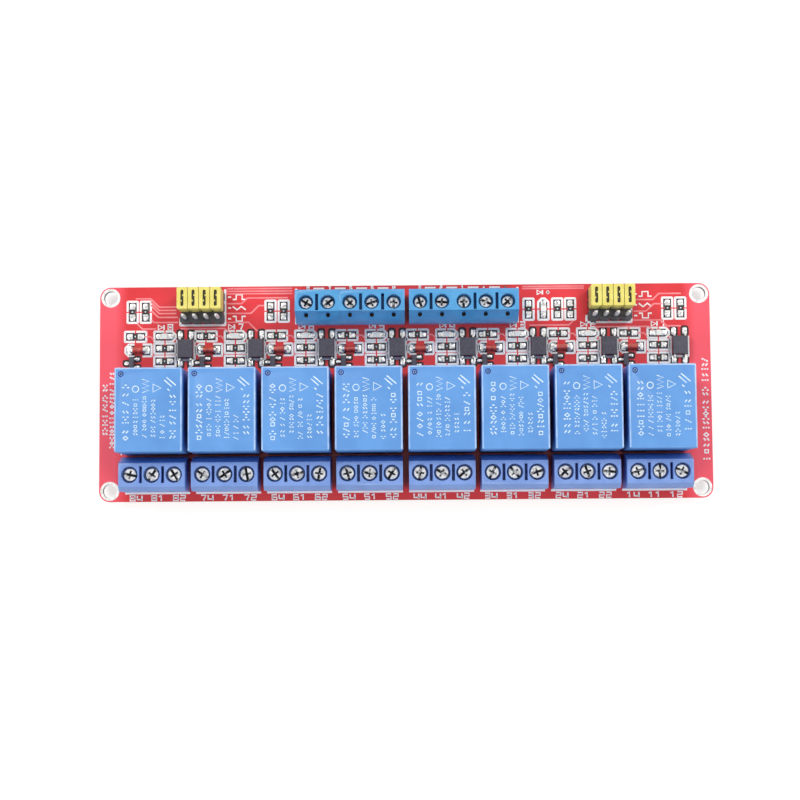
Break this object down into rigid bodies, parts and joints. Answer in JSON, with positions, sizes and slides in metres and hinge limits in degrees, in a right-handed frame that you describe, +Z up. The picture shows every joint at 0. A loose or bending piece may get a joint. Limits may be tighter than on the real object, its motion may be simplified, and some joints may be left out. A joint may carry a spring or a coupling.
{
  "type": "relay module board",
  "caption": "Relay control board: a row of sealed relays with screw terminals, opto-isolated driver parts and push-on trigger jumpers.",
  "frame": {"origin": "centre of the mounting-hole pattern, on the underside of the circuit board", "axes": "+X along the row of relays towards channel 1, +Y towards the input terminals, +Z up out of the component side"},
  "size_m": [0.142, 0.05, 0.0191],
  "materials": {
    "red_board": "gloss solder mask over glass-epoxy laminate",
    "tinned_copper": "bright tin plating",
    "relay_blue_plastic": "moulded, satin",
    "terminal_blue_plastic": "moulded, satin",
    "terminal_cyan_plastic": "moulded, satin",
    "yellow_plastic": "moulded, satin",
    "black_plastic": "moulded, satin",
    "dark_plastic": "moulded, satin",
    "moulded_epoxy": "moulded, matt",
    "resistor_glaze": "glazed",
    "white_laminate": "smooth",
    "clear_resin": "clear",
    "orange_glass": "clear glass tube",
    "gilt_pin": "gold flash over brass",
    "spring_bronze": "rolled strip",
    "zinc_plated_steel": "bright zinc",
    "solder": "bright solder"
  },
  "bodies": {
    "board": {"pcb": "red_board", "mounting_pads": "tinned_copper", "relay_cover_1": "relay_blue_plastic", "relay_cover_2": "relay_blue_plastic", "relay_cover_3": "relay_blue_plastic", "relay_cover_4": "relay_blue_plastic", "relay_cover_5": "relay_blue_plastic", "relay_cover_6": "relay_blue_plastic", "relay_cover_7": "relay_blue_plastic", "relay_cover_8": "relay_blue_plastic", "relay_bases": "dark_plastic", "relay_pins": "tinned_copper", "output_terminal_1": "terminal_blue_plastic", "output_terminal_2": "terminal_blue_plastic", "output_terminal_3": "terminal_blue_plastic", "output_terminal_4": "terminal_blue_plastic", "output_terminal_5": "terminal_blue_plastic", "output_terminal_6": "terminal_blue_plastic", "output_terminal_7": "terminal_blue_plastic", "output_terminal_8": "terminal_blue_plastic", "input_terminal_1": "terminal_cyan_plastic", "input_terminal_2": "terminal_cyan_plastic", "input_terminal_3": "terminal_cyan_plastic", "input_terminal_4": "terminal_cyan_plastic", "output_screws": "zinc_plated_steel", "input_screws": "zinc_plated_steel", "wire_cages": "zinc_plated_steel", "terminal_pins": "tinned_copper", "pin_header_left": "black_plastic", "pin_header_right": "black_plastic", "header_pins": "gilt_pin", "optocouplers": "moulded_epoxy", "optocoupler_leads": "tinned_copper", "resistor_bodies": "resistor_glaze", "resistor_ends": "tinned_copper", "led_bases": "white_laminate", "led_lenses": "clear_resin", "led_ends": "tinned_copper", "diode_glasses": "orange_glass", "diode_ends": "tinned_copper", "transistors": "moulded_epoxy", "transistor_leads": "tinned_copper", "solder_joints": "solder"},
    "jumper_1": {"jumper_cap_1": "yellow_plastic", "jumper_clip_1": "spring_bronze"},
    "jumper_2": {"jumper_cap_2": "yellow_plastic", "jumper_clip_2": "spring_bronze"},
    "jumper_3": {"jumper_cap_3": "yellow_plastic", "jumper_clip_3": "spring_bronze"},
    "jumper_4": {"jumper_cap_4": "yellow_plastic", "jumper_clip_4": "spring_bronze"},
    "jumper_5": {"jumper_cap_5": "yellow_plastic", "jumper_clip_5": "spring_bronze"},
    "jumper_6": {"jumper_cap_6": "yellow_plastic", "jumper_clip_6": "spring_bronze"},
    "jumper_7": {"jumper_cap_7": "yellow_plastic", "jumper_clip_7": "spring_bronze"},
    "jumper_8": {"jumper_cap_8": "yellow_plastic", "jumper_clip_8": "spring_bronze"}
  },
  "joints": [
    {"name": "jumper_1_pull", "type": "slide", "parent": "board", "child": "jumper_1", "axis": [0, 0, 1], "range_m": [0, 0.006]},
    {"name": "jumper_2_pull", "type": "slide", "parent": "board", "child": "jumper_2", "axis": [0, 0, 1], "range_m": [0, 0.006]},
    {"name": "jumper_3_pull", "type": "slide", "parent": "board", "child": "jumper_3", "axis": [0, 0, 1], "range_m": [0, 0.006]},
    {"name": "jumper_4_pull", "type": "slide", "parent": "board", "child": "jumper_4", "axis": [0, 0, 1], "range_m": [0, 0.006]},
    {"name": "jumper_5_pull", "type": "slide", "parent": "board", "child": "jumper_5", "axis": [0, 0, 1], "range_m": [0, 0.006]},
    {"name": "jumper_6_pull", "type": "slide", "parent": "board", "child": "jumper_6", "axis": [0, 0, 1], "range_m": [0, 0.006]},
    {"name": "jumper_7_pull", "type": "slide", "parent": "board", "child": "jumper_7", "axis": [0, 0, 1], "range_m": [0, 0.006]},
    {"name": "jumper_8_pull", "type": "slide", "parent": "board", "child": "jumper_8", "axis": [0, 0, 1], "range_m": [0, 0.006]}
  ]
}
